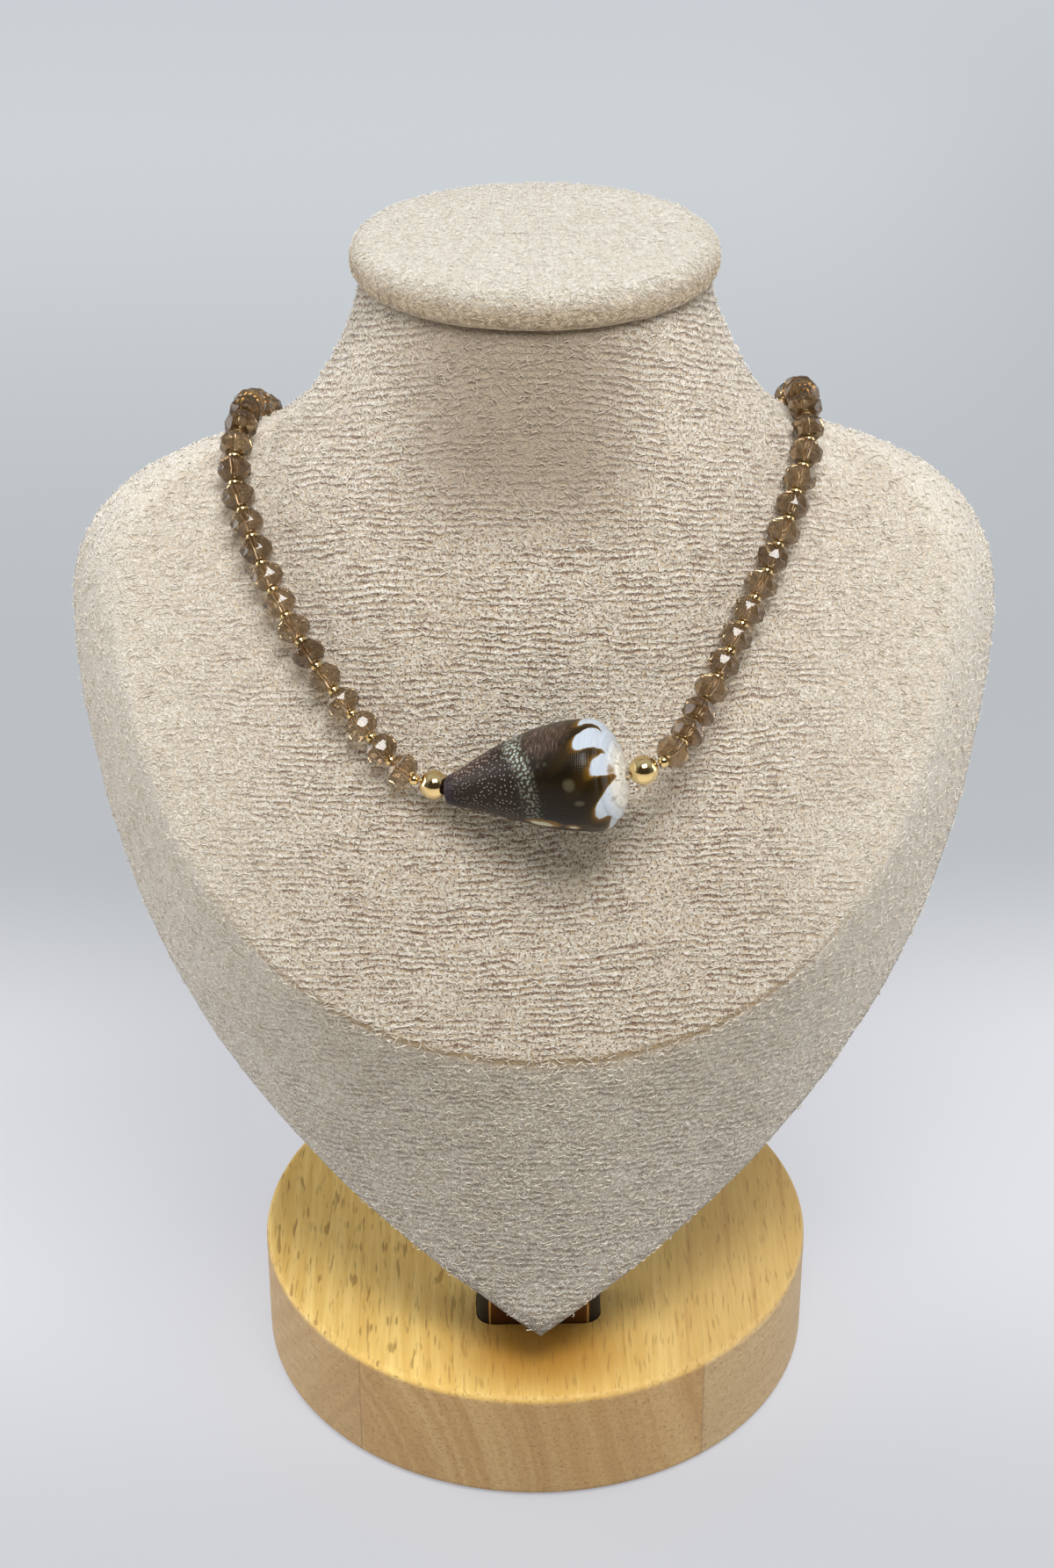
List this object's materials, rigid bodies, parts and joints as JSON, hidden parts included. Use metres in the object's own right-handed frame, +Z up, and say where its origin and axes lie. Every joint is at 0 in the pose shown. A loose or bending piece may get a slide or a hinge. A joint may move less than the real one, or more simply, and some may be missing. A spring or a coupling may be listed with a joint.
{
  "type": "shell necklace on a neck bust",
  "caption": "Cone shell strung with faceted smoky quartz rondelles and gold balls, lying on a cloth-covered neck bust that leans back over a round wooden base.",
  "frame": {"origin": "middle of the underside of the round wooden base, on the surface it stands on", "axes": "+Z up along the base's axis, front of the bust towards -Y, +X to the right as seen from the front"},
  "size_m": [0.2018, 0.1437, 0.283],
  "materials": {
    "wood": "satin lacquer over light wood",
    "bronze_post": "glossy bronze brown",
    "cloth": "ribbed chenille knit, soft beige",
    "cap_cloth": "ribbed chenille knit, cream",
    "shell": "natural shell, dark brown with white flames, satin gloss",
    "gold": "polished gold",
    "quartz": "faceted smoky quartz",
    "thread": "matt beading thread"
  },
  "bodies": {
    "root": {"wood_base": "wood", "support_post": "bronze_post", "bust_form": "cloth", "neck_cap": "cap_cloth", "shell": "shell", "gold_bead_left": "gold", "gold_bead_right": "gold", "quartz_beads_left": "quartz", "quartz_beads_right": "quartz", "gold_spacers_left": "gold", "gold_spacers_right": "gold", "thread": "thread", "clasp": "gold"}
  },
  "joints": []
}
